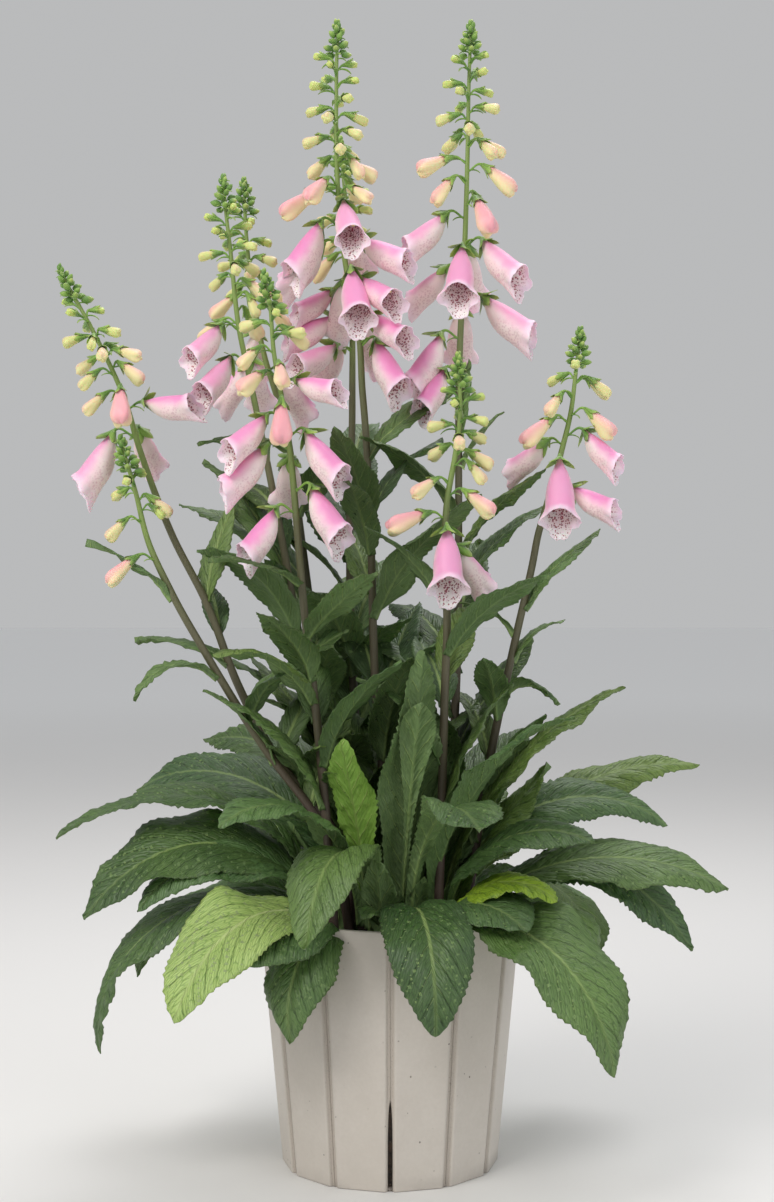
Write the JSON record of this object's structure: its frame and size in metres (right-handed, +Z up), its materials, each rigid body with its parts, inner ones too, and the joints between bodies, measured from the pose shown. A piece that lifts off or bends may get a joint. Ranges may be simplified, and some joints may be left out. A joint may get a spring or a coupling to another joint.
{
  "type": "potted foxglove plant",
  "caption": "Potted foxglove with tall spikes of hanging bell flowers above a rosette of toothed leaves, in a board-sided tapering planter that stands on its flat base.",
  "frame": {"origin": "centre of the pot's underside", "axes": "+Z up along the flower stalks, -Y to the front, where one groove of the pot opens into a drainage slot"},
  "size_m": [0.5736, 0.4228, 1.004],
  "materials": {
    "pot": "satin",
    "soil": "matte",
    "leaf": "satin",
    "lime_leaf": "satin",
    "yellow_leaf": "satin",
    "stem": "satin",
    "flower": "satin"
  },
  "bodies": {
    "root": {"leaf_back_low": "leaf", "leaf_back_low_left": "leaf", "leaf_back_low_mid": "leaf", "leaf_back_low_right": "leaf", "leaf_back_mid_left": "leaf", "leaf_back_mid_right": "leaf", "leaf_back_tall_left": "leaf", "leaf_back_tall_right": "leaf", "leaf_dark_hanging": "leaf", "leaf_front_arching": "leaf", "leaf_front_crumpled": "leaf", "leaf_front_grey": "leaf", "leaf_front_hanging": "leaf", "leaf_front_right_mid": "leaf", "leaf_front_small": "leaf", "leaf_green_front": "leaf", "leaf_left_arching": "leaf", "leaf_left_broad": "leaf", "leaf_left_dark": "leaf", "leaf_left_grey": "leaf", "leaf_left_hanging": "leaf", "leaf_left_lapping": "leaf", "leaf_left_level": "leaf", "leaf_lime_round": "lime_leaf", "leaf_lime_upright": "lime_leaf", "leaf_right_broad": "leaf", "leaf_right_hanging": "leaf", "leaf_right_high": "leaf", "leaf_right_inner": "leaf", "leaf_right_level": "leaf", "leaf_right_long": "leaf", "leaf_right_low": "leaf", "leaf_right_middle": "leaf", "leaf_right_upward": "leaf", "leaf_upright_back": "leaf", "leaf_upright_front": "leaf", "leaf_upright_tall": "leaf", "leaf_yellow_front": "yellow_leaf", "pot": "pot", "soil": "soil", "spike_back_left": "flower", "spike_far_left": "flower", "spike_far_right": "flower", "spike_front_left": "flower", "spike_front_right": "flower", "spike_left": "flower", "spike_mid_left": "flower", "spike_near_left": "flower", "spike_tall_left": "flower", "spike_tall_right": "flower", "stalk_back_left": "stem", "stalk_far_left": "stem", "stalk_far_right": "stem", "stalk_front_left": "stem", "stalk_front_right": "stem", "stalk_left": "stem", "stalk_mid_left": "stem", "stalk_near_left": "stem", "stalk_tall_left": "stem", "stalk_tall_right": "stem"}
  },
  "joints": []
}
